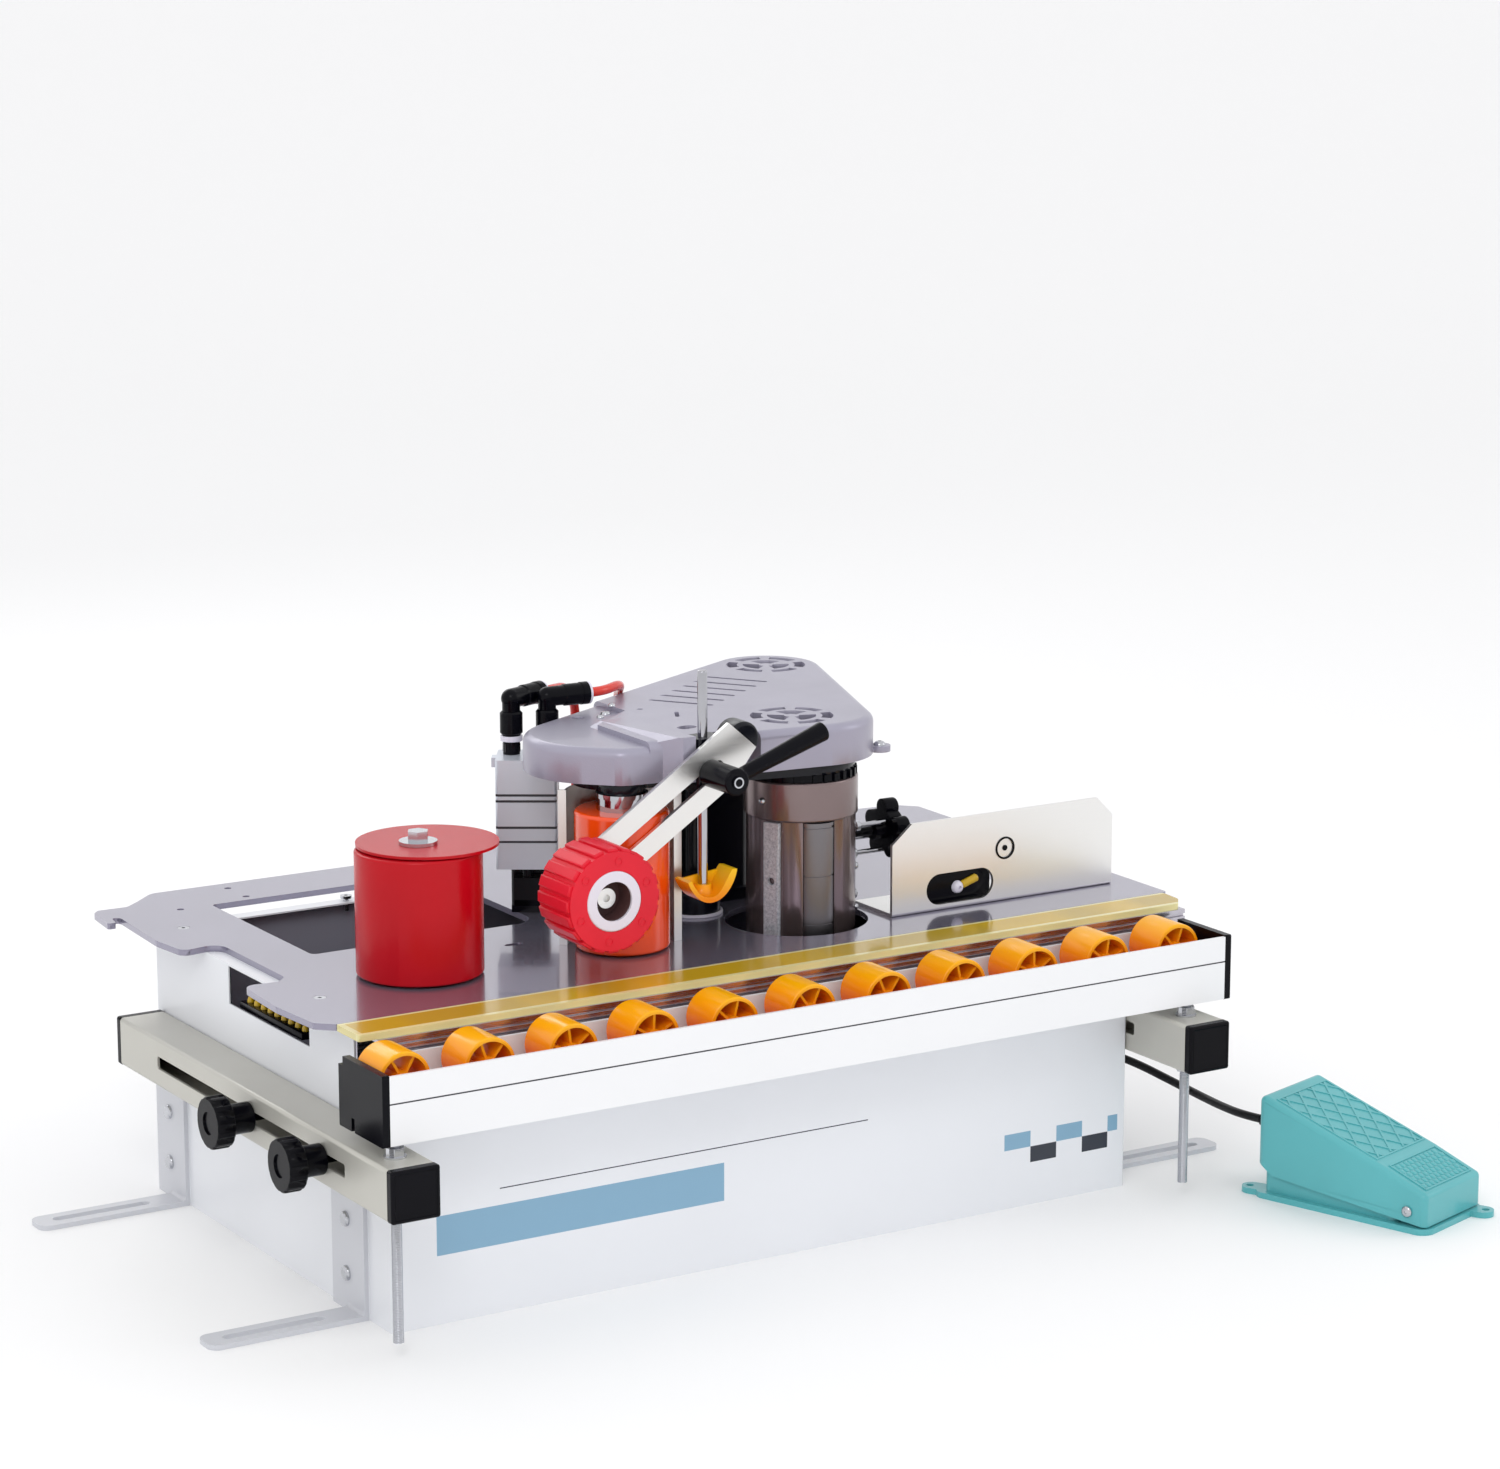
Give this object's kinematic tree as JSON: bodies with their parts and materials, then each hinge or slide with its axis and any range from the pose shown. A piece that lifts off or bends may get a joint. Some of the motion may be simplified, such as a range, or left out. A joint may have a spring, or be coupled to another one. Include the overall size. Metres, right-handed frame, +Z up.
{
  "type": "edge banding machine",
  "caption": "Bench-top edge banding machine: glue pot, feed and press rollers on a flat table, spring-loaded wheel, sliding roller rail in front and a foot pedal",
  "frame": {"origin": "Middle of the cabinet's bottom face, on the surface that the machine stands on", "axes": "+X right along the cabinet's long front, in the direction the board travels; +Y from the front with the roller rail to the back; +Z up"},
  "size_m": [1.0194, 0.7336, 0.452],
  "materials": {
    "white_paint": "satin white powder coat",
    "zinc": "bright zinc plate",
    "table_grey": "satin lavender-grey plate",
    "mustard": "glossy mustard strip with a cream edge",
    "alloy": "drawn aluminium, fine lines along X",
    "rail_white": "satin white coated aluminium",
    "tube_cream": "satin champagne-grey tube",
    "black_plastic": "black moulded plastic",
    "roller_orange": "glossy orange moulded plastic",
    "cover_grey": "fine-textured lavender-grey casting",
    "black_paint": "satin black, a little blue",
    "motor_black": "satin black motor shell",
    "belt_rubber": "black belt",
    "pot_bronze": "warm grey-brown coated casting",
    "chrome": "bright chrome",
    "steel": "brushed stainless steel",
    "feed_orange": "glossy vivid orange rubber",
    "press_red": "glossy red roller cover",
    "wheel_red": "red moulded rubber",
    "bush_white": "white nylon",
    "cylinder_silver": "satin anodised aluminium",
    "hose_red": "red hose",
    "tongue_yellow": "yellow-orange sprung tongue",
    "pedal_teal": "satin teal casting",
    "cable_black": "black cable"
  },
  "bodies": {
    "frame": {"cabinet_shell": "white_paint", "floor_brackets": "white_paint", "panel_screws": "zinc", "table_plate": "table_grey", "guide_strip": "mustard", "front_extrusion": "alloy", "head_cover": "cover_grey", "head_column": "black_paint", "drive_motor": "motor_black", "drive_belts": "belt_rubber", "glue_pot": "pot_bronze", "pot_insulator": "black_plastic", "pot_scraper": "zinc", "feed_guard": "steel", "press_roller_post": "zinc", "press_roller_guard": "press_red", "cutter_cylinder": "cylinder_silver", "cutter_base": "black_paint", "air_fittings": "black_plastic", "air_hoses": "hose_red", "hold_down_bracket": "black_paint", "pedal_base": "pedal_teal", "cable_glands": "black_plastic", "pedal_cable": "cable_black"},
    "extension": {"extension_tubes": "tube_cream", "tube_plugs": "black_plastic", "level_nuts": "zinc"},
    "rail": {"conveyor_rail": "rail_white", "rail_caps": "black_plastic", "rail_fasteners": "zinc"},
    "motor_shaft": {"motor_pulley": "steel"},
    "glue_spindle": {"glue_roller": "steel"},
    "feed_spindle": {"feed_roller": "feed_orange", "feed_shaft": "chrome"},
    "press_spindle": {"press_roller": "press_red"},
    "blade": {"cutter_blade": "steel"},
    "tongue_rod": {"height_rod": "chrome", "tape_tongue": "tongue_yellow"},
    "arm": {"hold_down_arm": "steel"},
    "wheel": {"hold_down_wheel": "wheel_red", "wheel_hub": "bush_white"},
    "lever": {"clamp_lever": "black_plastic"},
    "fence": {"fence_plate": "steel"},
    "glue_screw": {"glue_knob": "black_plastic"},
    "tread": {"pedal_tread": "pedal_teal"},
    "roller_01": {"conveyor_roller_01": "roller_orange"},
    "roller_02": {"conveyor_roller_02": "roller_orange"},
    "roller_03": {"conveyor_roller_03": "roller_orange"},
    "roller_04": {"conveyor_roller_04": "roller_orange"},
    "roller_05": {"conveyor_roller_05": "roller_orange"},
    "roller_06": {"conveyor_roller_06": "roller_orange"},
    "roller_07": {"conveyor_roller_07": "roller_orange"},
    "roller_08": {"conveyor_roller_08": "roller_orange"},
    "roller_09": {"conveyor_roller_09": "roller_orange"},
    "roller_10": {"conveyor_roller_10": "roller_orange"},
    "roller_11": {"conveyor_roller_11": "roller_orange"},
    "knob_left_front": {"clamp_knob_left_front": "black_plastic"},
    "knob_left_rear": {"clamp_knob_left_rear": "black_plastic"},
    "knob_right_front": {"clamp_knob_right_front": "black_plastic"},
    "knob_right_rear": {"clamp_knob_right_rear": "black_plastic"}
  },
  "joints": [
    {"name": "extension_slide", "type": "slide", "parent": "frame", "child": "extension", "axis": [0, -1, 0], "range_m": [0, 0.16]},
    {"name": "rail_height", "type": "slide", "parent": "extension", "child": "rail", "axis": [0, 0, 1], "range_m": [0, 0.06]},
    {"name": "roller_01_spin", "type": "hinge", "parent": "rail", "child": "roller_01", "pos_m": [-0.345, -0.2285, 0.2075], "axis": [0, 1, 0], "continuous": true},
    {"name": "roller_02_spin", "type": "hinge", "parent": "rail", "child": "roller_02", "pos_m": [-0.2744, -0.2285, 0.2075], "axis": [0, 1, 0], "continuous": true},
    {"name": "roller_03_spin", "type": "hinge", "parent": "rail", "child": "roller_03", "pos_m": [-0.2038, -0.2285, 0.2075], "axis": [0, 1, 0], "continuous": true},
    {"name": "roller_04_spin", "type": "hinge", "parent": "rail", "child": "roller_04", "pos_m": [-0.1332, -0.2285, 0.2075], "axis": [0, 1, 0], "continuous": true},
    {"name": "roller_05_spin", "type": "hinge", "parent": "rail", "child": "roller_05", "pos_m": [-0.0626, -0.2285, 0.2075], "axis": [0, 1, 0], "continuous": true},
    {"name": "roller_06_spin", "type": "hinge", "parent": "rail", "child": "roller_06", "pos_m": [0.008, -0.2285, 0.2075], "axis": [0, 1, 0], "continuous": true},
    {"name": "roller_07_spin", "type": "hinge", "parent": "rail", "child": "roller_07", "pos_m": [0.0786, -0.2285, 0.2075], "axis": [0, 1, 0], "continuous": true},
    {"name": "roller_08_spin", "type": "hinge", "parent": "rail", "child": "roller_08", "pos_m": [0.1492, -0.2285, 0.2075], "axis": [0, 1, 0], "continuous": true},
    {"name": "roller_09_spin", "type": "hinge", "parent": "rail", "child": "roller_09", "pos_m": [0.2198, -0.2285, 0.2075], "axis": [0, 1, 0], "continuous": true},
    {"name": "roller_10_spin", "type": "hinge", "parent": "rail", "child": "roller_10", "pos_m": [0.2904, -0.2285, 0.2075], "axis": [0, 1, 0], "continuous": true},
    {"name": "roller_11_spin", "type": "hinge", "parent": "rail", "child": "roller_11", "pos_m": [0.361, -0.2285, 0.2075], "axis": [0, 1, 0], "continuous": true},
    {"name": "knob_left_front_turn", "type": "hinge", "parent": "frame", "child": "knob_left_front", "pos_m": [-0.39, -0.1805, 0.1362], "axis": [1, 0, 0], "continuous": true},
    {"name": "knob_left_rear_turn", "type": "hinge", "parent": "frame", "child": "knob_left_rear", "pos_m": [-0.39, -0.0555, 0.1362], "axis": [1, 0, 0], "continuous": true},
    {"name": "knob_right_front_turn", "type": "hinge", "parent": "frame", "child": "knob_right_front", "pos_m": [0.39, -0.1805, 0.1362], "axis": [1, 0, 0], "continuous": true},
    {"name": "knob_right_rear_turn", "type": "hinge", "parent": "frame", "child": "knob_right_rear", "pos_m": [0.39, -0.0555, 0.1362], "axis": [1, 0, 0], "continuous": true},
    {"name": "motor_spin", "type": "hinge", "parent": "frame", "child": "motor_shaft", "pos_m": [0.208, 0.1415, 0.37], "axis": [0, 0, 1], "continuous": true},
    {"name": "glue_spin", "type": "hinge", "parent": "frame", "child": "glue_spindle", "pos_m": [0.11, -0.088, 0.3], "axis": [0, 0, 1], "continuous": true},
    {"name": "feed_spin", "type": "hinge", "parent": "frame", "child": "feed_spindle", "pos_m": [-0.058, -0.0685, 0.3], "axis": [0, 0, 1], "continuous": true},
    {"name": "press_spin", "type": "hinge", "parent": "frame", "child": "press_spindle", "pos_m": [-0.233, -0.0565, 0.28], "axis": [0, 0, 1], "continuous": true},
    {"name": "blade_drop", "type": "slide", "parent": "frame", "child": "blade", "axis": [0, 0, 1], "range_m": [-0.0065, 0], "stiffness_N_per_m": 800, "springref_m": 0.006},
    {"name": "rod_height", "type": "slide", "parent": "frame", "child": "tongue_rod", "axis": [0, 0, 1], "range_m": [-0.01, 0.015]},
    {"name": "arm_tilt", "type": "hinge", "parent": "frame", "child": "arm", "pos_m": [-0.00117, -0.1115, 0.37161], "axis": [0, 1, 0], "range_deg": [-8, 35]},
    {"name": "wheel_spin", "type": "hinge", "parent": "arm", "child": "wheel", "pos_m": [-0.1193, -0.1385, 0.2937], "axis": [0, 1, 0], "continuous": true},
    {"name": "lever_turn", "type": "hinge", "parent": "frame", "child": "lever", "pos_m": [-0.00117, -0.1115, 0.37161], "axis": [0, 1, 0], "range_deg": [-90, 90]},
    {"name": "fence_slide", "type": "slide", "parent": "frame", "child": "fence", "axis": [0, 1, 0], "range_m": [-0.01, 0.01]},
    {"name": "glue_screw_turn", "type": "hinge", "parent": "frame", "child": "glue_screw", "pos_m": [0.203, -0.0585, 0.292], "axis": [1, 0, 0], "continuous": true},
    {"name": "tread_press", "type": "hinge", "parent": "frame", "child": "tread", "pos_m": [0.50064, -0.41204, 0.017], "axis": [0.9511, 0.309, 0], "range_deg": [-2.2, 0], "stiffness_Nm_per_rad": 12, "springref_deg": 14.32}
  ],
  "couplings": [
    {"joint": "glue_spin", "follows": "motor_spin", "ratio": 2},
    {"joint": "feed_spin", "follows": "motor_spin", "ratio": 0.875}
  ]
}
